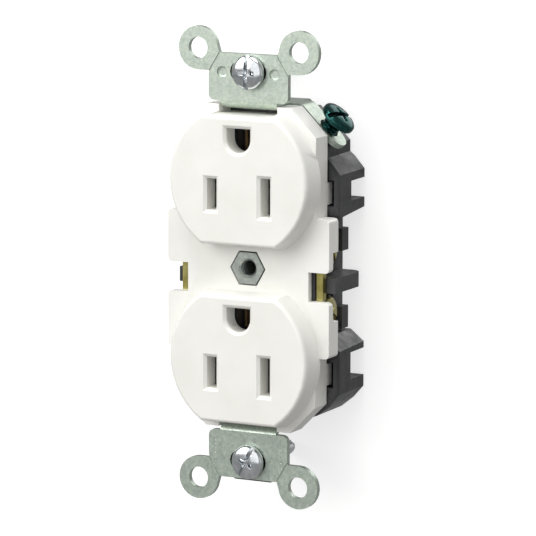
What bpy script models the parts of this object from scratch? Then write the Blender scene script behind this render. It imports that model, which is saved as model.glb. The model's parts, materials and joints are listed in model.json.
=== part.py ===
"""Duplex wall outlet with a wrap-around mounting strap, ears, terminal screws and contacts.

Frame: metres, X to the right of the face, Y into the wall, Z up. The origin is on the
wall-plate screw's axis, in the plane of the ears' back faces, which lie on the wall.
Lengths below are in millimetres and are scaled once, when a mesh is made.
"""
import math

import bmesh
import bpy
from mathutils import Matrix, Vector

MM = 0.001

# Driving dimensions, mm
OUTLET_PITCH = 38.1          # centre to centre of the two faces
MOUNT_PITCH = 83.34          # centre to centre of the mounting screws
BASE_FRONT = -1.35           # Y of the cover's base front
FACE_FRONT = -6.25           # Y of the plug faces
SKIRT_REAR = 4.05
WING_REAR = 3.0
BODY_REAR = 16.8
COVER_HALF_W = 16.04
COVER_HALF_H = 34.6
COVER_CHAMFER = 44.68        # |X| + |Z| on the 45 degree corners
WING_X = 19.2
WING_TOP, WING_BOTTOM = 11.54, -18.05
NOTCH_X, NOTCH_TOP, NOTCH_BOTTOM = 14.35, 0.2, -6.1
MID_Z = -3.11                # the terminals and slots are symmetric about this height
FACE_R, FACE_FLAT = 16.35, 13.7
SLOT_X, SLOT_HALF_W = 6.35, 1.144
HOT_HALF_H, NEUTRAL_HALF_H = 3.35, 4.07
SLOT_DZ, PIN_DZ = -3.11, 8.78
PIN_R, PIN_FLAT = 2.8, 2.35
LEAD_IN = 0.65
WALL = 1.5
STRAP_T = 1.25
STRAP_HALF_W = 6.65
STRAP_BACK = 15.9            # Y of the strap's outer back face
SHELF_Z = 34.9
EAR_X, EAR_Z0, EAR_Z1 = 9.4, 35.35, 45.5
RING_X, RING_Z, RING_R, RING_HOLE_R = 11.92, 46.25, 4.65, 2.28
TERMINAL_Y = 7.55
TERMINAL_DZ = 7.0
SCREW_HEAD_R, SCREW_SHANK_R = 3.95, 2.05
HEX_AF = 6.7
SEG = 28

for old in list(bpy.data.objects):
    bpy.data.objects.remove(old, do_unlink=True)


def material(name, rgb, rough, metal=0.0):
    m = bpy.data.materials.new(name)
    m.use_nodes = True
    b = m.node_tree.nodes["Principled BSDF"]
    b.inputs["Base Color"].default_value = (*rgb, 1.0)
    b.inputs["Roughness"].default_value = rough
    b.inputs["Metallic"].default_value = metal
    m.diffuse_color = (*rgb, 1.0)
    return m


WHITE = material("white_moulded", (0.84, 0.83, 0.78), 0.35)
BLACK = material("black_moulded", (0.035, 0.037, 0.042), 0.4)
ZINC = material("zinc_steel", (0.56, 0.61, 0.57), 0.38, 0.9)
BRASS = material("brass_strip", (0.50, 0.44, 0.16), 0.32, 1.0)
BRASS_SCREW = material("brass_screw", (0.62, 0.55, 0.25), 0.3, 1.0)
NICKEL_SCREW = material("nickel_screw", (0.66, 0.66, 0.64), 0.28, 1.0)
GREEN = material("green_screw", (0.03, 0.12, 0.11), 0.3, 0.8)
CHROME = material("bright_screw", (0.75, 0.77, 0.78), 0.15, 1.0)
FIBRE = material("black_fibre", (0.03, 0.03, 0.032), 0.7)
STEEL = material("steel_insert", (0.42, 0.44, 0.44), 0.35, 1.0)


def make(name, solids, mat, origin=(0, 0, 0)):
    """One object from closed solids [(verts, faces)], all in mm, with its origin at a point."""
    bm = bmesh.new()
    for verts, faces in solids:
        vs = [bm.verts.new((v[0] - origin[0], v[1] - origin[1], v[2] - origin[2])) for v in verts]
        fs = [bm.faces.new([vs[i] for i in f]) for f in faces]
        bmesh.ops.recalc_face_normals(bm, faces=fs)
    bmesh.ops.scale(bm, vec=(MM, MM, MM), verts=bm.verts)
    me = bpy.data.meshes.new(name)
    bm.to_mesh(me)
    bm.free()
    ob = bpy.data.objects.new(name, me)
    ob.location = Vector(origin) * MM
    bpy.context.scene.collection.objects.link(ob)
    me.materials.append(mat)
    return ob


def prism(pts, axis, a, b, scale_b=1.0):
    """Outline pts extruded along an axis from a to b. pts are (Y,Z), (X,Z) or (X,Y)."""
    put = {"X": lambda p, t: (t, p[0], p[1]), "Y": lambda p, t: (p[0], t, p[1]), "Z": lambda p, t: (p[0], p[1], t)}[axis]
    n = len(pts)
    verts = [put(p, a) for p in pts] + [put((p[0] * scale_b, p[1] * scale_b), b) for p in pts]
    faces = [list(range(n)), list(range(n, 2 * n))] + [[i, (i + 1) % n, n + (i + 1) % n, n + i] for i in range(n)]
    return verts, faces


def box(x0, x1, y0, y1, z0, z1):
    return prism([(x0, z0), (x1, z0), (x1, z1), (x0, z1)], "Y", y0, y1)


def lathe(profile, at=(0, 0, 0), axis=(0, 0, 1), seg=SEG):
    """Closed (radius, height) outline turned about an axis. A radius of 0 is one point on the axis."""
    rot = Vector((0, 0, 1)).rotation_difference(Vector(axis)).to_matrix()
    verts, rings = [], []
    for r, h in profile:
        if r < 1e-6:
            rings.append([len(verts)] * seg)
            verts.append(rot @ Vector((0, 0, h)) + Vector(at))
            continue
        rings.append(list(range(len(verts), len(verts) + seg)))
        for k in range(seg):
            t = 2 * math.pi * k / seg
            verts.append(rot @ Vector((r * math.cos(t), r * math.sin(t), h)) + Vector(at))
    faces = []
    n = len(profile)
    solid = profile[0][0] < 1e-6 and profile[-1][0] < 1e-6
    for i in range(n - 1 if solid else n):
        a, b = rings[i], rings[(i + 1) % n]
        for k in range(seg):
            quad = [a[k], a[(k + 1) % seg], b[(k + 1) % seg], b[k]]
            face = []
            for v in quad:
                if v not in face:
                    face.append(v)
            if len(face) > 2:
                faces.append(face)
    return [tuple(v) for v in verts], faces


def cylinder(r, h0, h1, at=(0, 0, 0), axis=(0, 0, 1), seg=SEG):
    return lathe([(0, h0), (r, h0), (r, h1), (0, h1)], at, axis, seg)


def arc(cx, cz, r, a0, a1, n):
    return [(cx + r * math.cos(math.radians(a0 + (a1 - a0) * i / n)), cz + r * math.sin(math.radians(a0 + (a1 - a0) * i / n))) for i in range(n + 1)]


def fillet(pts, radii, n=4):
    """Outline with corner i rounded by radii[i] (0 keeps it sharp)."""
    out = []
    m = len(pts)
    for i, p in enumerate(pts):
        r = radii[i]
        if r <= 0:
            out.append(p)
            continue
        p = Vector(p)
        a, b = (Vector(pts[i - 1]) - p).normalized(), (Vector(pts[(i + 1) % m]) - p).normalized()
        half = a.angle(b) / 2
        d = r / math.tan(half)
        c = p + (a + b).normalized() * (r / math.sin(half))
        s, e = p + a * d - c, p + b * d - c
        sweep = math.atan2(s.x * e.y - s.y * e.x, s.dot(e))
        for k in range(n + 1):
            t = sweep * k / n
            out.append((c.x + s.x * math.cos(t) - s.y * math.sin(t), c.y + s.x * math.sin(t) + s.y * math.cos(t)))
    return out


def boolean(ob, operation, solids, label):
    """Adds a Boolean with a hidden helper made from closed solids."""
    helper = make(f"{ob.name}_{label}", solids, ob.data.materials[0])
    helper.hide_render = True
    helper.display_type = "WIRE"
    mod = ob.modifiers.new(label, "BOOLEAN")
    mod.operation = operation
    mod.object = helper
    mod.solver = "EXACT"
    mod.use_self = True
    return mod


def mirrored(pts):
    return [(-x, z) for x, z in pts[::-1]]


def smooth(ob, angle=35):
    ob.data.shade_smooth()
    ob.data.set_sharp_from_angle(angle=math.radians(angle))


FACES_Z = (OUTLET_PITCH / 2, -OUTLET_PITCH / 2)


def octagon(half_w, half_h, chamfer):
    cx, cz = chamfer - half_h, chamfer - half_w
    return [(half_w, -cz), (half_w, cz), (cx, half_h), (-cx, half_h), (-half_w, cz), (-half_w, -cz), (-cx, -half_h), (cx, -half_h)]


def face_outline(r, flat, cz, n=14):
    a = math.degrees(math.asin(flat / r))
    right = arc(0, cz, r, -a, a, n)
    left = arc(0, cz, r, 180 - a, 180 + a, n)
    return right + left


def pin_outline(grow, cz, n=14):
    """Ground-pin hole: square-cornered top, half-round bottom."""
    r = PIN_R + grow
    return arc(0, cz, r, -180, 0, n) + [(r, cz + PIN_FLAT + grow), (-r, cz + PIN_FLAT + grow)]


def slot_outline(x, cz, half_w, half_h):
    return [(x - half_w, cz - half_h), (x + half_w, cz - half_h), (x + half_w, cz + half_h), (x - half_w, cz + half_h)]


def loft(front, rear, y0, y1):
    n = len(front)
    verts = [(p[0], y0, p[1]) for p in front] + [(p[0], y1, p[1]) for p in rear]
    faces = [list(range(n)), list(range(n, 2 * n))] + [[i, (i + 1) % n, n + (i + 1) % n, n + i] for i in range(n)]
    return verts, faces


# Front cover: base with a skirt, side wings, two raised plug faces, slots and clip legs
def wing_outline(s, inset=0.0):
    x0, x1 = 10.0 - inset, WING_X - inset
    z1, z0 = WING_TOP - inset, WING_BOTTOM + inset
    n1, n0, nx = NOTCH_TOP + inset, NOTCH_BOTTOM - inset, NOTCH_X - inset
    pts = [(x0, z0), (x1, z0), (x1, n0), (nx, n0), (nx, n1), (x1, n1), (x1, z1), (x0, z1)]
    r = 0.0 if inset else 0.9
    pts = fillet(pts, [0, r, r, 0, 0, r, r, 0], 3)
    return pts if s > 0 else mirrored(pts)


cover_solids = [
    prism(octagon(COVER_HALF_W, COVER_HALF_H, COVER_CHAMFER), "Y", BASE_FRONT, SKIRT_REAR),
]
cover = make("face_cover", cover_solids, WHITE)
boolean(cover, "UNION", [prism(wing_outline(1), "Y", BASE_FRONT, WING_REAR)], "wing_right")
boolean(cover, "UNION", [prism(wing_outline(-1), "Y", BASE_FRONT, WING_REAR)], "wing_left")
bosses = []
for cz in FACES_Z:
    front = face_outline(FACE_R - 0.45, FACE_FLAT - 0.45, cz)
    shoulder = face_outline(FACE_R, FACE_FLAT, cz)
    base = face_outline(FACE_R + 0.7, FACE_FLAT + 0.5, cz)
    n = len(front)
    rings = [(front, FACE_FRONT), (shoulder, FACE_FRONT + 0.6), (base, BASE_FRONT + 0.4)]
    verts = [(p[0], y, p[1]) for ring, y in rings for p in ring]
    faces = [list(range(n)), list(range(2 * n, 3 * n))]
    for k in range(2):
        faces += [[k * n + i, k * n + (i + 1) % n, (k + 1) * n + (i + 1) % n, (k + 1) * n + i] for i in range(n)]
    bosses.append((verts, faces))
boolean(cover, "UNION", bosses, "plug_faces")
hollow = [
    prism(octagon(COVER_HALF_W - WALL, 32.2 - WALL, COVER_CHAMFER - 2.4), "Y", BASE_FRONT + WALL, SKIRT_REAR + 3),
]
for cz in FACES_Z:
    hollow.append(box(-9.9, 9.9, -1.9, 2, cz - 11, cz + 11))
boolean(cover, "DIFFERENCE", hollow[:1], "inside")
boolean(cover, "DIFFERENCE", hollow[1:], "face_pockets")
for s, tag in ((1, "right"), (-1, "left")):
    boolean(cover, "DIFFERENCE", [prism(wing_outline(s, WALL), "Y", BASE_FRONT + WALL, WING_REAR + 3)], "wing_inside_" + tag)
cuts = [box(-6.95, 6.95, -5, 8, 32.7, 40), box(-6.95, 6.95, -5, 8, -40, -32.7)]
cuts += [box(NOTCH_X, 22, -5, 8, NOTCH_BOTTOM, NOTCH_TOP), box(-22, -NOTCH_X, -5, 8, NOTCH_BOTTOM, NOTCH_TOP)]
for s in (1, -1):
    for z0, z1 in ((NOTCH_TOP - 1, NOTCH_TOP + 4.2), (NOTCH_BOTTOM - 4.2, NOTCH_BOTTOM + 1)):
        cuts.append(box(min(s * 15.5, s * 22), max(s * 15.5, s * 22), 0.6, 8, z0, z1))
hexagon = arc(0, 0, (HEX_AF / 2 + 0.3) / math.cos(math.pi / 6), 0, 300, 5)
cuts.append(prism(hexagon, "Y", -4, 4))
boolean(cover, "DIFFERENCE", cuts, "recesses")
slots = []
for cz in FACES_Z:
    for x, hh in ((-SLOT_X, HOT_HALF_H), (SLOT_X, NEUTRAL_HALF_H)):
        z = cz + SLOT_DZ
        slots.append([
            loft(slot_outline(x, z, SLOT_HALF_W + 1.15, hh + 1.15), slot_outline(x, z, SLOT_HALF_W, hh), FACE_FRONT - 0.5, FACE_FRONT + 0.65),
            prism(slot_outline(x, z, SLOT_HALF_W, hh), "Y", FACE_FRONT + 0.3, 1.0),
        ])
    z = cz + PIN_DZ
    slots.append([
        loft(pin_outline(1.15, z), pin_outline(0.0, z), FACE_FRONT - 0.5, FACE_FRONT + 0.65),
        prism(pin_outline(0.0, z), "Y", FACE_FRONT + 0.3, 1.0),
    ])
boolean(cover, "DIFFERENCE", [s[0] for s in slots], "lead_ins")
boolean(cover, "DIFFERENCE", [s[1] for s in slots], "slots")
legs = []
for s in (1, -1):
    for z0, z1 in ((13.9, 18.6), (-24.8, -20.1)):
        x0, x1 = sorted((s * 14.75, s * 15.95))
        legs.append(box(x0, x1, 2.5, 6.6, z0, z1))
boolean(cover, "UNION", legs, "clip_legs")
smooth(cover, 30)

# Rear body: walls, floor, corner blocks, barrier fins and wire posts
body = make("back_body", [loft(octagon(15.7, 33.3, 42.0), octagon(15.1, 33.3, 41.4), SKIRT_REAR + 0.3, BODY_REAR)], BLACK)
boolean(body, "UNION", [prism(octagon(14.1, 30.3, 41.6), "Y", 0.6, 6.0)], "front_plug")
blocks = []
for s in (1, -1):
    for sign in (1, -1):
        # heights measured from MID_Z, the same above and below it
        def zz(h):
            return MID_Z + sign * h
        if sign > 0:
            inner, inner_r = [(18.9, zz(14.3)), (10.5, zz(14.3))], [(18.5, zz(15.3)), (10.5, zz(15.3))]
        else:
            inner, inner_r = [(18.9, -17.3), (15.4, -14.45), (10.5, -14.45)], [(18.5, -16.9), (15.4, -14.45), (10.5, -14.45)]
        pts = [(10.5, zz(29.5)), (13.6, zz(28.4)), (16.6, zz(26.2)), (18.9, zz(23.4))] + inner
        pts_r = [(10.5, zz(29.5)), (13.3, zz(28.4)), (16.2, zz(26.1)), (18.5, zz(23.5))] + inner_r
        if s < 0:
            pts, pts_r = mirrored(pts), mirrored(pts_r)
        blocks.append(loft(pts, pts_r, SKIRT_REAR + 0.35, BODY_REAR))
boolean(body, "UNION", blocks, "corner_blocks")
cut = []
for s in (1, -1):
    def xs(a, b):
        return (min(s * a, s * b), max(s * a, s * b))
    # terminal bay, open to the side
    cut.append(box(*xs(11.2, 25), -2, 12.3, -14.45, MID_Z + 13.9))
    cut.append(box(*xs(13.4, 25), 11, 20, -14.45, MID_Z + 13.9))
    for sign in (1, -1):
        z0, z1 = (14.3, 18.5) if sign > 0 else (-24.1, -18.3)
        cut.append(box(*xs(15.2, 25), 10.05, 20, z0, z1))
        z0, z1 = sorted((MID_Z + sign * 16.6, MID_Z + sign * 22.2))
        cut.append(box(*xs(14.3, 17.4), -1, 7.2, z0, z1))
        # rim lowered for the contact arm
        z0, z1 = sorted((MID_Z + sign * 6.5, MID_Z + sign * 13.9))
        cut.append(box(*xs(8.0, 14.5), -1, 2.75, z0, z1))
        z0, z1 = sorted((MID_Z + sign * 13.8, MID_Z + sign * 18.6))
        cut.append(box(*xs(8.0, 12.9), -1, 2.75, z0, z1))
boolean(body, "DIFFERENCE", cut, "bays")
cut = []
for cz in FACES_Z:
    z0, z1 = (4.6, 31) if cz > 0 else (-31, -4.6)
    cut.append(box(-3.55, 3.55, -2, 12.3, z0 if cz > 0 else z0, z1))
    for s in (1, -1):
        a, b = sorted((s * 4.35, s * 9.95))
        cut.append(box(a, b, -2, 12.3, z0, z1))
    cut.append(box(-3.3, 3.3, 11, 15, cz - 1.1, cz + 11.8))
boolean(body, "DIFFERENCE", cut, "contact_wells")
cut = [box(-6.95, 6.95, 14.35, 20, -40, 40), box(-6.95, 6.95, 4.7, 16, 33.15, 40), box(-6.95, 6.95, 4.7, 16, -40, -33.15)]
cut.append(cylinder(2.95, -3, 16, axis=(0, 1, 0)))
for s in (1, -1):
    for sign in (1, -1):
        cut.append(cylinder(2.6, 8, 13, at=(0, TERMINAL_Y, MID_Z + sign * TERMINAL_DZ), axis=(s, 0, 0), seg=16))
TAB_D = 44.55                # X + Z on the ground tab's outer face
TAB_SCREW = (14.75, 7.4, TAB_D - 14.75)
root2 = math.sqrt(2)
AXIS45 = (1 / root2, 0, 1 / root2)
cut.append(cylinder(2.5, -4.4, 4, at=TAB_SCREW, axis=AXIS45, seg=20))
boolean(body, "DIFFERENCE", cut, "channel_and_holes")
fins = []
for s in (1, -1):
    pts = [(12.65, 0.5), (14.9, 0.5), (14.9, 2.75), (18.6, 2.75), (18.6, 13.5)] + arc(16.1, 13.5, 2.5, 0, 90, 5)[1:] + [(12.65, 16.0)]
    pts = [(s * x, y) for x, y in pts][:: s]
    fins.append(prism(pts, "Z", MID_Z - 1.6, MID_Z + 1.6))
    fins.append(box(*sorted((s * 12.65, s * 15.0)), 0.4, 1.2, MID_Z - 2.9, MID_Z + 2.9))
    for sign in (1, -1):
        z0, z1 = sorted((MID_Z + sign * 6.0, MID_Z + sign * 10.8))
        a, b = sorted((s * 12.9, s * 15.3))
        fins.append(box(a, b, 12.7, 15.7, z0, z1))
boolean(body, "UNION", fins, "fins_and_posts")
smooth(body, 30)

# Mounting strap: a band wrapped round the back, an ear plate at each end and a ground tab
def strap_band():
    t, w = STRAP_T, SHELF_Z
    zi = w - t
    # inner surface from the upper ear's front down to the lower ear's front, then the outer one back
    inner = fillet([(-t, 37.0), (-t, zi), (STRAP_BACK - t, zi), (STRAP_BACK - t, -zi), (-t, -zi), (-t, -37.0)], [0, 2.05, 0.8, 0.8, 2.05, 0])
    outer = fillet([(0, -37.0), (0, -w), (STRAP_BACK, -w), (STRAP_BACK, w), (0, w), (0, 37.0)], [0, 0.8, 2.05, 2.05, 0.8, 0])
    return inner + outer


def ear_outline(sign):
    ring = arc(RING_X, RING_Z, RING_R, -90, 172, 20)
    half = fillet([(0, EAR_Z0), (EAR_X, EAR_Z0), (EAR_X, RING_Z - RING_R)], [0, 1.3, 0])[1:] + ring + [(6.9, EAR_Z1)]
    pts = half + [(-x, z) for x, z in half[::-1]]
    return pts if sign > 0 else [(x, -z) for x, z in pts[::-1]]


def oblong(cx, cz, half_l, r, n=8):
    return arc(cx + half_l - r, cz, r, -90, 90, n) + arc(cx - half_l + r, cz, r, 90, 270, n)


strap = make("mounting_strap", [prism(strap_band(), "X", -STRAP_HALF_W, STRAP_HALF_W)], ZINC)
MZ = MOUNT_PITCH / 2
boolean(strap, "UNION", [prism(ear_outline(s), "Y", -STRAP_T, 0) for s in (1, -1)], "ears")
tab = fillet([(5.5, SHELF_Z), (TAB_D - SHELF_Z, SHELF_Z), (18.2, TAB_D - 18.2), (18.2 - STRAP_T / root2, TAB_D - 18.2 - STRAP_T / root2), (TAB_D - SHELF_Z - 0.52, SHELF_Z - STRAP_T), (5.5, SHELF_Z - STRAP_T)], [0, 1.6, 0, 0, 0.5, 0])
boolean(strap, "UNION", [prism(tab, "Y", 4.75, 10.4)], "ground_tab")
holes = [prism(oblong(0, s * MZ, 4.3, 2.15), "Y", -3, 2) for s in (1, -1)]
holes += [cylinder(RING_HOLE_R, -3, 2, at=(a * RING_X, 0, b * RING_Z), axis=(0, 1, 0)) for a in (1, -1) for b in (1, -1)]
holes.append(cylinder(2.95, 12, 18, axis=(0, 1, 0)))
RIVET_Z = (21.0, -17.1)
holes += [cylinder(1.85, 12, 18, at=(0, 0, z), axis=(0, 1, 0), seg=16) for z in RIVET_Z]
holes.append(cylinder(2.35, -4, 4, at=TAB_SCREW, axis=AXIS45, seg=20))
boolean(strap, "DIFFERENCE", holes, "holes")
smooth(strap, 30)

# Hex-headed tubular insert that takes the wall-plate screw and clamps cover, body and strap
r_hex = HEX_AF / 2 / math.cos(math.pi / 6)
insert = make("assembly_insert", [prism(arc(0, 0, r_hex, 0, 300, 5), "Y", BASE_FRONT, 0.3)], STEEL)
boolean(insert, "UNION", [lathe([(0, -0.4), (2.6, -0.4), (2.6, 16.15), (3.7, 16.15), (3.4, 16.75), (0, 16.75)], axis=(0, 1, 0), seg=24)], "shank")
boolean(insert, "DIFFERENCE", [lathe([(0, -3), (2.15 + 1.0, -2.35), (1.75, -0.95), (1.75, 18), (0, 18)], axis=(0, 1, 0), seg=24)], "tapped_bore")
smooth(insert, 35)


# Contact strips: a terminal plate, break-off tab, two arms and two blade clips each
def contact_strip(name, s, mat):
    def b(x0, x1, y0, y1, z0, z1):
        a, c = sorted((s * x0, s * x1))
        return box(a, c, y0, y1, z0, z1)
    parts = [b(11.5, 12.3, 1.5, 12.0, MID_Z - 10.8, MID_Z + 10.8)]
    for sign in (1, -1):
        def zz(h):
            return MID_Z + sign * h
        lo, hi = sorted((zz(10.5), zz(8.15)))
        parts.append(b(7.1, 12.2, 1.5, 2.3, lo, hi))
        lo, hi = sorted((zz(8.15), zz(18.2)))
        parts.append(b(7.07, 9.3, 1.5, 2.3, lo, hi))
        z0, z1 = sorted((zz(15.7), zz(23.0)))
        parts.append(b(7.07, 7.67, 1.5, 9.0, z0, z1))
        parts.append(b(5.03, 5.63, 1.5, 9.0, z0, z1))
        lo, hi = sorted((zz(22.4), zz(23.0)))
        parts.append(b(5.03, 7.67, 3.2, 8.4, lo, hi))
        # narrow necks of the break-off tab
        lo, hi = sorted((zz(1.95), zz(2.95)))
        parts.append(b(11.6, 16.4, 1.5, 2.3, lo, hi))
    parts.append(b(15.95, 16.75, 0.65, 2.3, MID_Z - 2.95, MID_Z + 2.95))
    parts.append(b(15.25, 16.75, 0.65, 1.35, MID_Z - 2.95, MID_Z + 2.95))
    ob = make(name, parts[:1], mat)
    boolean(ob, "UNION", parts[1:], "arms_and_clips")
    boolean(ob, "DIFFERENCE", [cylinder(2.35, 9, 14, at=(0, TERMINAL_Y, MID_Z + q * TERMINAL_DZ), axis=(s, 0, 0), seg=20) for q in (1, -1)], "screw_holes")
    return ob


contact_strip("hot_contact_strip", -1, BRASS)
contact_strip("neutral_contact_strip", 1, BRASS)

# Ground contacts on the strap's inner face, each held by a rivet
for cz, rz, tag in ((FACES_Z[0], RIVET_Z[0], "upper"), (FACES_Z[1], RIVET_Z[1], "lower")):
    c = cz + PIN_DZ
    g = make("ground_contact_" + tag, [box(-3.05, 3.05, 13.65, 14.35, cz - 0.7, c - 2.1)], BRASS)
    boolean(g, "UNION", [
        box(-3.05, 3.05, 3.0, 14.3, c - 3.3, c - 2.7),
        box(-3.05, -2.45, 3.0, 13.0, c - 3.2, c + 2.5),
        box(2.45, 3.05, 3.0, 13.0, c - 3.2, c + 2.5),
    ], "leaves")
    boolean(g, "DIFFERENCE", [cylinder(1.85, 12, 15, at=(0, 0, rz), axis=(0, 1, 0), seg=16)], "rivet_hole")
    rivet = make("ground_rivet_" + tag, [lathe([(0, 12.45), (1.6, 12.5), (2.4, 12.85), (2.5, 13.35), (1.5, 13.35), (1.5, 16.15), (2.6, 16.15), (2.3, 16.6), (1.4, 16.75), (0, 16.75)], at=(0, 0, rz), axis=(0, 1, 0), seg=16)], STEEL)
    smooth(rivet, 35)


def screw(name, mat, at, axis, head_r, head_h, shank_r, length, slot_w, slot_d, cross=False, seg=SEG):
    """Pan-head screw. 'at' is where its axis meets the head's underside; axis points out of the head."""
    prof = [(0, -length), (shank_r * 0.72, -length), (shank_r, -length + 0.8), (shank_r, 0), (head_r * 0.97, 0), (head_r, 0.3),
            (head_r, head_h * 0.42), (head_r * 0.9, head_h * 0.72), (head_r * 0.62, head_h * 0.94), (0, head_h)]
    ob = make(name, [lathe(prof, at, axis, seg)], mat, origin=at)
    rot = Vector((0, 0, 1)).rotation_difference(Vector(axis)).to_matrix()
    def turned(solid):
        verts, faces = solid
        return [tuple(rot @ Vector(v) + Vector(at)) for v in verts], faces
    cutters = [turned(box(-head_r - 1, head_r + 1, -slot_w / 2, slot_w / 2, head_h - slot_d, head_h + 2))]
    if cross:
        k = head_r * 0.5
        cutters.append(turned(box(-slot_w / 2, slot_w / 2, -k, k, head_h - slot_d * 1.25, head_h + 2)))
    boolean(ob, "DIFFERENCE", cutters, "drive")
    smooth(ob, 35)
    return ob


# Terminal screws with their clamp plates
for s, side, mat in ((-1, "hot", BRASS_SCREW), (1, "neutral", BRASS_SCREW)):
    for sign, tag in ((1, "upper"), (-1, "lower")):
        z = MID_Z + sign * TERMINAL_DZ
        a, b = sorted((s * 12.6, s * 13.5))
        centre = (s * 12.6, TERMINAL_Y, z)
        plate = make(f"clamp_plate_{side}_{tag}", [prism(fillet([(TERMINAL_Y - 3.1, z - 3.6), (TERMINAL_Y + 3.8, z - 3.6), (TERMINAL_Y + 3.8, z + 3.6), (TERMINAL_Y - 3.1, z + 3.6)], [0.8] * 4, 2), "X", a, b)], ZINC, origin=centre)
        boolean(plate, "DIFFERENCE", [cylinder(2.4, 10, 16, at=(0, TERMINAL_Y, z), axis=(s, 0, 0), seg=20)], "hole")
        screw(f"terminal_screw_{side}_{tag}", NICKEL_SCREW if side == "hot" else mat, (s * 13.8, TERMINAL_Y, z), (s, 0, 0), SCREW_HEAD_R, 1.75, SCREW_SHANK_R, 5.4, 1.1, 1.0, True)

screw("ground_screw", GREEN, tuple(TAB_SCREW[i] + AXIS45[i] * 2.5 for i in range(3)), AXIS45, 3.95, 1.9, 2.05, 5.9, 1.1, 1.05, True)

# Mounting screws through the ears' oblong holes, and the fibre pieces that keep them there
for sign, tag in ((1, "upper"), (-1, "lower")):
    z = sign * MZ
    screw("mounting_screw_" + tag, CHROME, (0.4, -STRAP_T - 0.3, z), (0, -1, 0), 3.65, 1.9, 1.7, 19.0, 0.95, 0.9, True)
    r = make("screw_retainer_" + tag, [prism(fillet([(-4.25, z - 4.45), (5.05, z - 4.45), (5.05, z + 3.6), (-4.25, z + 3.6)], [0.4] * 4, 2), "Y", 0.3, 1.1)], FIBRE, origin=(0.4, 0.3, z))
    boolean(r, "DIFFERENCE", [cylinder(2.0, -1, 3, at=(0.4, 0, z), axis=(0, 1, 0), seg=20)], "hole")
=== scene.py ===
import json
import math

import bmesh
import bpy
import numpy as np
from mathutils import Matrix, Vector, noise

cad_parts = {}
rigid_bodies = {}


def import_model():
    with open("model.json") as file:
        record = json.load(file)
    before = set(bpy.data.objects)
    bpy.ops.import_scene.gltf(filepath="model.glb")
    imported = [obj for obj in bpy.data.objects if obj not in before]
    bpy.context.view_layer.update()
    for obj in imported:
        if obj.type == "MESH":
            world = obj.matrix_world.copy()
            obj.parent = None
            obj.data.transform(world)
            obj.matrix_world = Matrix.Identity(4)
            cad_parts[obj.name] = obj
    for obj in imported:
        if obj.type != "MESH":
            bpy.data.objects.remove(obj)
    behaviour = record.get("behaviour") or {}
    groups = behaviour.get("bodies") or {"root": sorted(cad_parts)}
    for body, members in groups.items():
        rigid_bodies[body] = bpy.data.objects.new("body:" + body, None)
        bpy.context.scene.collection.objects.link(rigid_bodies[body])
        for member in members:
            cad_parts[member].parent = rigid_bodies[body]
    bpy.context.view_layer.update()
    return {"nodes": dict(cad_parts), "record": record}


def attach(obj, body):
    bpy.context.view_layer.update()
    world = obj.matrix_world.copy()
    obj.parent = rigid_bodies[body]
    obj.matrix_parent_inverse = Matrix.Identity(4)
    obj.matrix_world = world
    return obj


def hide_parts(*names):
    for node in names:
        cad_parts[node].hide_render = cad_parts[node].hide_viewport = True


for old in list(bpy.data.objects):
    bpy.data.objects.remove(old, do_unlink=True)

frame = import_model()
MM = 0.001
NODES = frame["nodes"]


# ---------------------------------------------------------------- materials
def new_mat(name):
    m = bpy.data.materials.new(name)
    m.use_nodes = True
    nt = m.node_tree
    nt.nodes.clear()
    out = nt.nodes.new("ShaderNodeOutputMaterial")
    b = nt.nodes.new("ShaderNodeBsdfPrincipled")
    nt.links.new(b.outputs[0], out.inputs[0])
    return m, nt, b


def noise_tex(nt, scale, detail=4.0, rough=0.55, stretch=(1, 1, 1), distort=0.0):
    co = nt.nodes.new("ShaderNodeTexCoord")
    mp = nt.nodes.new("ShaderNodeMapping")
    mp.inputs["Scale"].default_value = stretch
    n = nt.nodes.new("ShaderNodeTexNoise")
    n.inputs["Scale"].default_value = scale
    n.inputs["Detail"].default_value = detail
    n.inputs["Roughness"].default_value = rough
    n.inputs["Distortion"].default_value = distort
    nt.links.new(co.outputs["Object"], mp.inputs[0])
    nt.links.new(mp.outputs[0], n.inputs["Vector"])
    return n


def ramp(nt, src, stops):
    r = nt.nodes.new("ShaderNodeValToRGB")
    e = r.color_ramp.elements
    while len(e) < len(stops):
        e.new(0.5)
    for el, (p, c) in zip(e, stops):
        el.position = p
        el.color = (*c, 1) if len(c) == 3 else c
    nt.links.new(src, r.inputs[0])
    return r.outputs[0]


def span(nt, src, lo, hi):
    m = nt.nodes.new("ShaderNodeMapRange")
    m.inputs["From Min"].default_value = 0.3
    m.inputs["From Max"].default_value = 0.7
    m.inputs["To Min"].default_value = lo
    m.inputs["To Max"].default_value = hi
    nt.links.new(src, m.inputs[0])
    return m.outputs[0]


def bump(nt, b, heights):
    prev = None
    for src, strength, dist in heights:
        n = nt.nodes.new("ShaderNodeBump")
        n.inputs["Strength"].default_value = strength
        n.inputs["Distance"].default_value = dist
        nt.links.new(src, n.inputs["Height"])
        if prev:
            nt.links.new(prev, n.inputs["Normal"])
        prev = n.outputs[0]
    nt.links.new(prev, b.inputs["Normal"])


def edge_highlight_mix(nt, base, highlight_colour, amount=0.5, lo=0.52, hi=0.62):
    """Mixes towards a paler colour where the mesh is convex: a painted highlight along the edges."""
    g = nt.nodes.new("ShaderNodeNewGeometry")
    m = nt.nodes.new("ShaderNodeMapRange")
    m.inputs["From Min"].default_value = lo
    m.inputs["From Max"].default_value = hi
    m.inputs["To Max"].default_value = amount
    nt.links.new(g.outputs["Pointiness"], m.inputs[0])
    x = nt.nodes.new("ShaderNodeMix")
    x.data_type = "RGBA"
    nt.links.new(m.outputs[0], x.inputs["Factor"])
    nt.links.new(base, x.inputs["A"])
    x.inputs["B"].default_value = (*highlight_colour, 1)
    return x.outputs["Result"]


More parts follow.
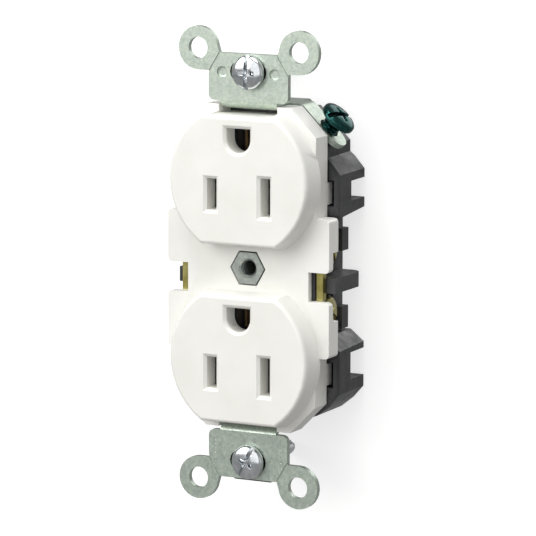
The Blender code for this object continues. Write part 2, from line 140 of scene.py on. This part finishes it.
def moulded(name, lo, hi, r_lo, r_hi, highlight_colour, grain=0.12, spec=0.5):
    m, nt, b = new_mat(name)
    cloud = noise_tex(nt, 90, 3, 0.5)
    col = ramp(nt, cloud.outputs["Fac"], [(0.3, lo), (0.7, hi)])
    # convex edges turn paler here: painted highlight along the edges
    nt.links.new(edge_highlight_mix(nt, col, highlight_colour, 0.35), b.inputs["Base Color"])
    fine = noise_tex(nt, 5200, 3, 0.6)
    mid = noise_tex(nt, 420, 4, 0.6)
    nt.links.new(span(nt, mid.outputs["Fac"], r_lo, r_hi), b.inputs["Roughness"])
    b.inputs["Specular IOR Level"].default_value = spec
    bump(nt, b, [(mid.outputs["Fac"], 0.05, 0.00006), (fine.outputs["Fac"], grain, 0.00002)])
    return m, nt, b


def plated(name, lo, hi, r_lo, r_hi, brushed=(1, 1, 1), tint=None, scale=160, grain=0.2):
    m, nt, b = new_mat(name)
    cloud = noise_tex(nt, scale, 5, 0.6, distort=0.6)
    stops = [(0.3, lo), (0.62, hi)]
    if tint:
        stops = [(0.28, lo), (0.5, tint), (0.68, hi)]
    col = ramp(nt, cloud.outputs["Fac"], stops)
    nt.links.new(col, b.inputs["Base Color"])
    b.inputs["Metallic"].default_value = 1.0
    lines = noise_tex(nt, 1500, 4, 0.65, stretch=brushed)
    nt.links.new(span(nt, lines.outputs["Fac"], r_lo, r_hi), b.inputs["Roughness"])
    micro = noise_tex(nt, 3600, 3, 0.6)
    bump(nt, b, [(lines.outputs["Fac"], grain, 0.00002), (micro.outputs["Fac"], grain * 0.6, 0.00001)])
    return m


# each moulded material's eighth argument is its painted edge highlight colour
WHITE, _nt, _b = moulded("white_moulded", (0.805, 0.797, 0.752), (0.865, 0.858, 0.818), 0.30, 0.46, (0.92, 0.915, 0.89), 0.16, 0.5)
_b.inputs["Subsurface Weight"].default_value = 0.08
_b.inputs["Subsurface Radius"].default_value = (0.0012, 0.001, 0.0008)
_b.inputs["Subsurface Scale"].default_value = 1.0
BLACK, _nt, _b = moulded("black_moulded", (0.009, 0.010, 0.012), (0.026, 0.027, 0.030), 0.22, 0.48, (0.16, 0.16, 0.165), 0.34, 0.44)
ZINC = plated("zinc_steel", (0.43, 0.51, 0.455), (0.66, 0.705, 0.62), 0.32, 0.50, (1, 1, 0.4), tint=(0.545, 0.62, 0.54), scale=1500, grain=0.42)
BRASS = plated("brass_strip", (0.36, 0.31, 0.09), (0.58, 0.53, 0.22), 0.24, 0.40, (1, 1, 0.15), tint=(0.48, 0.43, 0.14), scale=240, grain=0.18)
BRONZE = plated("bronze_contact", (0.40, 0.25, 0.12), (0.60, 0.42, 0.22), 0.28, 0.45, (1, 1, 0.2), scale=260, grain=0.18)
BRASS_SCREW = plated("brass_screw", (0.50, 0.45, 0.17), (0.68, 0.62, 0.30), 0.18, 0.32, scale=380, grain=0.12)
NICKEL_SCREW = plated("nickel_screw", (0.58, 0.58, 0.55), (0.72, 0.71, 0.68), 0.16, 0.30, scale=380, grain=0.12)
GREEN = plated("green_screw", (0.008, 0.045, 0.042), (0.026, 0.100, 0.092), 0.14, 0.26, scale=620, grain=0.12)
CHROME = plated("bright_screw", (0.50, 0.53, 0.55), (0.76, 0.78, 0.80), 0.10, 0.22, scale=360, grain=0.10)
STEEL = plated("steel_insert", (0.36, 0.40, 0.37), (0.54, 0.57, 0.53), 0.30, 0.46, scale=900, grain=0.30)
# steel far darker than the insert's for the thread inside its bore: painted shade in the hole
THREAD_PAINTED_SHADE = plated("insert_thread", (0.10, 0.11, 0.11), (0.24, 0.26, 0.25), 0.28, 0.42, scale=1400, grain=0.3)
# (0.08, 0.08, 0.08) below is the fibre's painted edge highlight colour
FIBRE, _nt, _b = moulded("black_fibre", (0.012, 0.012, 0.013), (0.03, 0.03, 0.03), 0.6, 0.8, (0.08, 0.08, 0.08), 0.5, 0.3)

MATS = {}
for node in NODES:
    if node.startswith("terminal_screw"):
        MATS[node] = NICKEL_SCREW if "hot" in node else BRASS_SCREW
    elif node.startswith("ground_contact"):
        MATS[node] = BRONZE
    elif node.endswith("contact_strip"):
        MATS[node] = BRASS
    elif node.startswith("mounting_screw"):
        MATS[node] = CHROME
    elif node.startswith("screw_retainer"):
        MATS[node] = FIBRE
    elif node.startswith("clamp_plate") or node == "mounting_strap":
        MATS[node] = ZINC
    elif node.startswith("ground_rivet") or node == "assembly_insert":
        MATS[node] = STEEL
MATS.update(face_cover=WHITE, back_body=BLACK, ground_screw=GREEN)
for node, ob in NODES.items():
    ob.data.materials.clear()
    ob.data.materials.append(MATS[node])
    ob.data.shade_smooth()
    ob.data.set_sharp_from_angle(angle=math.radians(30))


# ---------------------------------------------------------------- finer pieces
BODY_OF = {n: b for b, ns in frame["record"]["behaviour"]["bodies"].items() for n in ns}


def mesh_from(name, verts, faces):
    bm = bmesh.new()
    vs = [bm.verts.new((v[0] * MM, v[1] * MM, v[2] * MM)) for v in verts]
    for f in faces:
        bm.faces.new([vs[i] for i in f])
    bmesh.ops.recalc_face_normals(bm, faces=bm.faces)
    me = bpy.data.meshes.new(name)
    bm.to_mesh(me)
    bm.free()
    ob = bpy.data.objects.new(name, me)
    bpy.context.scene.collection.objects.link(ob)
    return ob


def prism(pts, axis, a, b):
    put = {"X": lambda p, t: (t, p[0], p[1]), "Y": lambda p, t: (p[0], t, p[1]), "Z": lambda p, t: (p[0], p[1], t)}[axis]
    n = len(pts)
    verts = [put(p, a) for p in pts] + [put(p, b) for p in pts]
    faces = [list(range(n)), list(range(n, 2 * n))] + [[i, (i + 1) % n, n + (i + 1) % n, n + i] for i in range(n)]
    return verts, faces


def box(x0, x1, y0, y1, z0, z1):
    return prism([(x0, z0), (x1, z0), (x1, z1), (x0, z1)], "Y", y0, y1)


def basis(axis):
    return Vector((0, 0, 1)).rotation_difference(Vector(axis)).to_matrix()


def lathe(profile, at=(0, 0, 0), axis=(0, 0, 1), seg=64):
    """(radius, height) outline from axis to axis, turned."""
    rot, at = basis(axis), Vector(at)
    verts, rings = [], []
    for r, h in profile:
        if r < 1e-6:
            rings.append([len(verts)] * seg)
            verts.append(rot @ Vector((0, 0, h)) + at)
            continue
        rings.append(list(range(len(verts), len(verts) + seg)))
        for k in range(seg):
            t = 2 * math.pi * k / seg
            verts.append(rot @ Vector((r * math.cos(t), r * math.sin(t), h)) + at)
    faces = []
    for a, b in zip(rings, rings[1:]):
        for k in range(seg):
            face = []
            for v in (a[k], a[(k + 1) % seg], b[(k + 1) % seg], b[k]):
                if v not in face:
                    face.append(v)
            if len(face) > 2:
                faces.append(face)
    return [tuple(v) for v in verts], faces


def thread(r_minor, r_major, pitch, h0, h1, at, axis, seg=36, per_turn=8, taper=1.6):
    """A helical V thread as a height field on a cylinder, closed at both ends."""
    rot, at = basis(axis), Vector(at)
    rows = max(4, int(round((h1 - h0) / pitch * per_turn)))
    verts, faces = [rot @ Vector((0, 0, h0)) + at], []
    for j in range(rows + 1):
        h = h0 + (h1 - h0) * j / rows
        fade = min(1.0, (h - h0) / taper + 0.15)
        for k in range(seg):
            t = 2 * math.pi * k / seg
            u = (h / pitch - k / seg) % 1.0
            v = min(1.0, max(0.0, 1.25 * (1 - abs(2 * u - 1)) - 0.12))
            r = r_minor + (r_major - r_minor) * v * fade
            verts.append(rot @ Vector((r * math.cos(t), r * math.sin(t), h)) + at)
    verts.append(rot @ Vector((0, 0, h1)) + at)
    last = len(verts) - 1
    for k in range(seg):
        faces.append([0, 1 + (k + 1) % seg, 1 + k])
        faces.append([last, 1 + rows * seg + k, 1 + rows * seg + (k + 1) % seg])
        for j in range(rows):
            a, b = 1 + j * seg, 1 + (j + 1) * seg
            faces.append([a + k, a + (k + 1) % seg, b + (k + 1) % seg, b + k])
    return [tuple(v) for v in verts], faces


def settle(ob):
    """Applies the modifiers."""
    graph = bpy.context.evaluated_depsgraph_get()
    me = bpy.data.meshes.new_from_object(ob.evaluated_get(graph))
    ob.modifiers.clear()
    old, ob.data = ob.data, me
    bpy.data.meshes.remove(old)
    return ob


def carve(ob, solids, operation="DIFFERENCE"):
    for i, (verts, faces) in enumerate(solids):
        helper = mesh_from(f"{ob.name}_cut{i}", verts, faces)
        mod = ob.modifiers.new("cut", "BOOLEAN")
        mod.operation, mod.object, mod.solver = operation, helper, "EXACT"
        settle(ob)
        bpy.data.objects.remove(helper, do_unlink=True)
    return ob


def soften(ob, width, segments=2, angle=28):
    bm = bmesh.new()
    bm.from_mesh(ob.data)
    bmesh.ops.remove_doubles(bm, verts=bm.verts, dist=2e-6)
    bmesh.ops.dissolve_limit(bm, angle_limit=math.radians(1.5), verts=bm.verts, edges=bm.edges)
    bm.to_mesh(ob.data)
    bm.free()
    mod = ob.modifiers.new("edges", "BEVEL")
    mod.width, mod.segments = width * MM, segments
    mod.limit_method, mod.angle_limit = "ANGLE", math.radians(angle)
    mod.use_clamp_overlap = True
    mod.harden_normals = False
    settle(ob)
    return ob


def finish_piece(ob, node, mat, angle=32, weighted=True):
    ob.data.materials.clear()
    ob.data.materials.append(mat)
    for p in ob.data.polygons:
        p.material_index = 0
    ob.data.shade_smooth()
    ob.data.set_sharp_from_angle(angle=math.radians(angle))
    if weighted:
        mod = ob.modifiers.new("flat_faces", "WEIGHTED_NORMAL")
        mod.mode, mod.weight, mod.keep_sharp = "FACE_AREA", 100, True
        settle(ob)
    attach(ob, BODY_OF[node])
    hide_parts(node)
    return ob


def round_faces(ob, offset=0.33, segments=4):
    """Rounds the outline of the two raised plug faces, and leaves their slots alone."""
    bm = bmesh.new()
    bm.from_mesh(ob.data)
    bmesh.ops.remove_doubles(bm, verts=bm.verts, dist=2e-6)
    bmesh.ops.dissolve_limit(bm, angle_limit=math.radians(1.5), verts=bm.verts, edges=bm.edges)

    def on_ring(v):
        x, y, z = (c / MM for c in v.co)
        far = min(math.hypot(x, z - 19.05), math.hypot(x, z + 19.05)) > 13.1
        return far and (abs(y + 6.25) < 0.02 or abs(y + 5.65) < 0.02)
    ring = [e for e in bm.edges if all(on_ring(v) for v in e.verts) and abs(e.verts[0].co.y - e.verts[1].co.y) < 1e-5]
    bmesh.ops.bevel(bm, geom=ring, offset=offset * MM, offset_type="OFFSET", segments=segments, profile=0.5, affect="EDGES", clamp_overlap=True)
    bm.to_mesh(ob.data)
    bm.free()
    return ob


def copy_of(node):
    ob = bpy.data.objects.new(node + "_fine", NODES[node].data.copy())
    bpy.context.scene.collection.objects.link(ob)
    return ob


# strap: dimples on the upper ear, score lines beside the break-off ears, and a column of plain stamped dots at each side
MZ = 83.34 / 2
strap = copy_of("mounting_strap")
marks = []
for q in (1, -1):
    for s in (1, -1):
        if q > 0:
            marks.append(lathe([(0, -0.5), (0.85, -0.56), (1.16, -0.42), (1.26, 0.4), (0, 0.4)], at=(s * 6.2, -1.25, q * 41.4), axis=(0, -1, 0), seg=32))
        a, b = Vector((s * 6.75, q * 45.6)), Vector((s * 9.5, q * 41.1))
        n = Vector((b - a).yx).normalized() * 0.16
        n.x = -n.x
        marks.append(prism([tuple(a + n), tuple(a - n), tuple(b - n), tuple(b + n)], "Y", -1.6, -1.02))
for k in range(6):
    for s in (1, -1):
        marks.append(lathe([(0, -0.12), (0.2, -0.12), (0.26, 0.4), (0, 0.4)], at=(s * 7.9, -1.25, -37.4 - k * 0.95), axis=(0, -1, 0), seg=16))
# rounded end on the ground tab, about the middle of its width
R2 = math.sqrt(2)
for s in (1, -1):
    pts = [(2.1, s * 3.6), (5.6, s * 3.6), (5.6, 0), (4.9, 0)] + [(2.1 + 2.8 * math.cos(math.radians(t)), s * 2.8 * math.sin(math.radians(t))) for t in range(10, 91, 10)]
    vs = [((14.75 + (t + d) / R2), 7.575 + y, 29.8 + (d - t) / R2) for d in (-3, 3) for t, y in pts]
    n = len(pts)
    marks.append((vs, [list(range(n)), list(range(n, 2 * n))] + [[i, (i + 1) % n, n + (i + 1) % n, n + i] for i in range(n)]))
carve(strap, marks)
soften(strap, 0.14)
finish_piece(strap, "mounting_strap", ZINC)

for node, width, mat in (("face_cover", 0.16, WHITE), ("back_body", 0.14, BLACK), ("hot_contact_strip", 0.07, BRASS),
                         ("neutral_contact_strip", 0.07, BRASS), ("ground_contact_upper", 0.06, BRONZE),
                         ("ground_contact_lower", 0.06, BRONZE), ("screw_retainer_upper", 0.08, FIBRE), ("screw_retainer_lower", 0.08, FIBRE)):
    if node == "back_body":
        finish_piece(soften(copy_of(node), width), node, mat, 20, False)
    else:
        piece = copy_of(node)
        if node == "face_cover":
            round_faces(piece)
        finish_piece(soften(piece, width), node, mat)
for node in NODES:
    if node.startswith("clamp_plate"):
        finish_piece(soften(copy_of(node), 0.1), node, ZINC)


def fine_screw(node, mat, at, axis, head_r, head_h, shank_r, length, slot_w, slot_d, turn=0.0, pitch=0.79375):
    """Domed head with a slot and a shorter cross, over a threaded shank."""
    rot, o = basis(axis), Vector(at)
    prof = [(0, 0.02), (head_r * 0.955, 0.02), (head_r * 0.985, 0.08), (head_r, 0.22), (head_r, head_h * 0.40)]
    for k in range(1, 9):
        t = math.pi / 2 * k / 8
        prof.append((head_r * math.cos(t) if k < 8 else 0.0, head_h * 0.40 + head_h * 0.60 * math.sin(t) ** 0.85))
    verts, faces = lathe(prof, at, axis, 72)
    ob = mesh_from(node + "_fine", verts, faces)

    spin = Matrix.Rotation(math.radians(turn), 3, "Z")

    def turned(solid):
        vs, fs = solid
        return [tuple(rot @ spin @ Vector(v) + o) for v in vs], fs
    carve(ob, [turned(box(-head_r - 1, head_r + 1, -slot_w / 2, slot_w / 2, head_h - slot_d, head_h + 2))])
    k, w = head_r * 0.58, slot_w * 0.5
    top = [(-k, -w), (k, -w), (k, w), (-k, w)]
    low = [(-k * 0.45, -w * 0.8), (k * 0.45, -w * 0.8), (k * 0.45, w * 0.8), (-k * 0.45, w * 0.8)]
    for flip in (0, 1):
        f = (lambda p: (p[1], p[0])) if flip else (lambda p: p)
        vs = [(*f(p), head_h - slot_d * 1.55) for p in low] + [(*f(p), head_h + 0.4) for p in top]
        fs = [[0, 1, 2, 3], [4, 5, 6, 7]] + [[i, (i + 1) % 4, 4 + (i + 1) % 4, 4 + i] for i in range(4)]
        carve(ob, [turned((vs, fs))])
    soften(ob, 0.07, 2, 34)
    verts, faces = thread(shank_r * 0.80, shank_r, pitch, -length, 0.15, at, axis)
    shank = mesh_from(node + "_shank", verts, faces)
    bm = bmesh.new()
    bm.from_mesh(ob.data)
    bm.from_mesh(shank.data)
    bm.to_mesh(ob.data)
    bm.free()
    bpy.data.objects.remove(shank, do_unlink=True)
    return finish_piece(ob, node, mat, 48, False)


MID_Z, TY = -3.11, 7.55
for s, side, mat in ((-1, "hot", NICKEL_SCREW), (1, "neutral", BRASS_SCREW)):
    for q, tag in ((1, "upper"), (-1, "lower")):
        fine_screw(f"terminal_screw_{side}_{tag}", mat, (s * 13.8, TY, MID_Z + q * 7.0), (s, 0, 0), 3.95, 1.75, 2.05, 5.4, 1.1, 1.0, 35 if q > 0 else 64)
root2 = math.sqrt(2)
A45 = (1 / root2, 0, 1 / root2)
fine_screw("ground_screw", GREEN, tuple(p + 2.5 * d for p, d in zip((14.75, 7.4, 29.8), A45)), A45, 3.95, 1.9, 2.05, 5.9, 1.15, 1.15, 78)
for q, tag in ((1, "upper"), (-1, "lower")):
    fine_screw("mounting_screw_" + tag, CHROME, (0.4, -1.55, q * MZ), (0, -1, 0), 3.65, 1.9, 1.7, 19.0, 0.95, 1.0, 88 if q > 0 else 66)

# thread inside the insert's bore: a closed sleeve, threaded inside and plain outside, in steel darker than the
# insert's as painted shade in the bore
def inner_thread(r_crest, r_root, r_out, pitch, h0, h1, seg=40, per_turn=8):
    rows = int(round((h1 - h0) / pitch * per_turn))
    verts, faces = [], []
    for j in range(rows + 1):
        h = h0 + (h1 - h0) * j / rows
        for k in range(seg):
            t = 2 * math.pi * k / seg
            u = (h / pitch - k / seg) % 1.0
            v = min(1.0, max(0.0, 1.25 * (1 - abs(2 * u - 1)) - 0.12))
            r = r_root + (r_crest - r_root) * v
            verts.append((r * math.cos(t), h, r * math.sin(t)))
    for h in (h0, h1):
        verts += [(r_out * math.cos(2 * math.pi * k / seg), h, r_out * math.sin(2 * math.pi * k / seg)) for k in range(seg)]
    lo, hi = (rows + 1) * seg, (rows + 2) * seg
    for k in range(seg):
        n = (k + 1) % seg
        for j in range(rows):
            faces.append([j * seg + k, j * seg + n, (j + 1) * seg + n, (j + 1) * seg + k])
        faces.append([lo + k, lo + n, hi + n, hi + k])
        faces.append([k, n, lo + n, lo + k])
        faces.append([rows * seg + k, rows * seg + n, hi + n, hi + k])
    return verts, faces


sleeve = mesh_from("insert_thread", *inner_thread(1.42, 1.70, 1.95, 0.79375, -0.75, 15.9))
sleeve.data.materials.append(THREAD_PAINTED_SHADE)
sleeve.data.shade_smooth()
sleeve.data.set_sharp_from_angle(angle=math.radians(48))
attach(sleeve, "frame")


# ---------------------------------------------------------------- surface, lights, camera
def plane(name, centre, ux, uy, half):
    me = bpy.data.meshes.new(name)
    c, ux, uy = Vector(centre), Vector(ux), Vector(uy)
    n = 24
    verts = [c + ux * half * (2 * i / n - 1) + uy * half * (2 * j / n - 1) for j in range(n + 1) for i in range(n + 1)]
    faces = [(j * (n + 1) + i, j * (n + 1) + i + 1, (j + 1) * (n + 1) + i + 1, (j + 1) * (n + 1) + i) for j in range(n) for i in range(n)]
    me.from_pydata([tuple(v) for v in verts], [], faces)
    ob = bpy.data.objects.new(name, me)
    bpy.context.scene.collection.objects.link(ob)
    return ob


floor = plane("pale_floor", (0, 0.0179, 0), (1, 0, 0), (0, 0, 1), 1.2)
m, nt, b = new_mat("pale_floor")
fn = noise_tex(nt, 30, 3, 0.5)
nt.links.new(ramp(nt, fn.outputs["Fac"], [(0.3, (0.50, 0.50, 0.498)), (0.7, (0.52, 0.52, 0.518))]), b.inputs["Base Color"])
b.inputs["Roughness"].default_value = 0.9
b.inputs["Specular IOR Level"].default_value = 0.1
b.inputs["Emission Color"].default_value = (1, 1, 1, 1)
b.inputs["Emission Strength"].default_value = 0.66
g = nt.nodes.new("ShaderNodeNewGeometry")
tr = nt.nodes.new("ShaderNodeBsdfTransparent")
mx = nt.nodes.new("ShaderNodeMixShader")
out = [x for x in nt.nodes if x.type == "OUTPUT_MATERIAL"][0]
nt.links.new(g.outputs["Backfacing"], mx.inputs[0])
nt.links.new(b.outputs[0], mx.inputs[1])
nt.links.new(tr.outputs[0], mx.inputs[2])
nt.links.new(mx.outputs[0], out.inputs[0])
floor.data.materials.append(m)
floor.visible_diffuse = False
floor.visible_glossy = False
floor.visible_shadow = False


def area(name, pos, target, size, power, colour=(1, 1, 1), size_y=None):
    l = bpy.data.lights.new(name, "AREA")
    l.shape = "RECTANGLE"
    l.size, l.size_y = size, size_y or size
    l.energy = power
    l.color = colour
    o = bpy.data.objects.new(name, l)
    o.location = pos
    o.rotation_mode = "QUATERNION"
    o.rotation_quaternion = (Vector(target) - Vector(pos)).to_track_quat("-Z", "Y")
    bpy.context.scene.collection.objects.link(o)
    return o


area("key_left", (-0.50, -0.62, 0.42), (0, 0, 0), 0.75, 5.7, (1, 0.995, 0.98))
area("fill_front", (0.15, -0.95, 0.25), (0, 0, 0), 0.9, 2.4)
area("top_soft", (0.12, -0.16, 0.62), (0, 0, 0), 0.42, 3.0)
area("right_soft", (0.8, -0.25, 0.1), (0, 0, 0), 0.5, 0.25)

area("rim_high_rear", (0.13, 0.70, 0.36), (0, 0, 0), 0.42, 0.8)

world = bpy.data.worlds.new("studio")
bpy.context.scene.world = world
world.use_nodes = True
bg = world.node_tree.nodes["Background"]
bg.inputs[0].default_value = (1, 1, 1, 1)
bg.inputs[1].default_value = 0.34

a, e, r = (math.radians(v) for v in (27.374, 9.179, 0.0948))
dist = 0.857053
back = Vector((math.sin(a) * math.cos(e), -math.cos(a) * math.cos(e), math.sin(e)))
right = Vector((math.cos(a), math.sin(a), 0))
up = back.cross(right)
r1 = right * math.cos(r) + up * math.sin(r)
u1 = up * math.cos(r) - right * math.sin(r)
cam_data = bpy.data.cameras.new("camera")
cam = bpy.data.objects.new("camera", cam_data)
cam.location = Vector((0.004823, -0.00135, 0.000435)) + back * dist
cam.rotation_mode = "QUATERNION"
cam.rotation_quaternion = Matrix((r1, u1, back)).transposed().to_quaternion()
cam_data.sensor_width = 36.0
cam_data.lens = 4066.92 / 536 * 36
cam_data.clip_start, cam_data.clip_end = 0.01, 20
bpy.context.scene.collection.objects.link(cam)
bpy.context.scene.camera = cam
bpy.context.scene.view_settings.view_transform = "Standard"
bpy.context.scene.view_settings.look = "None"
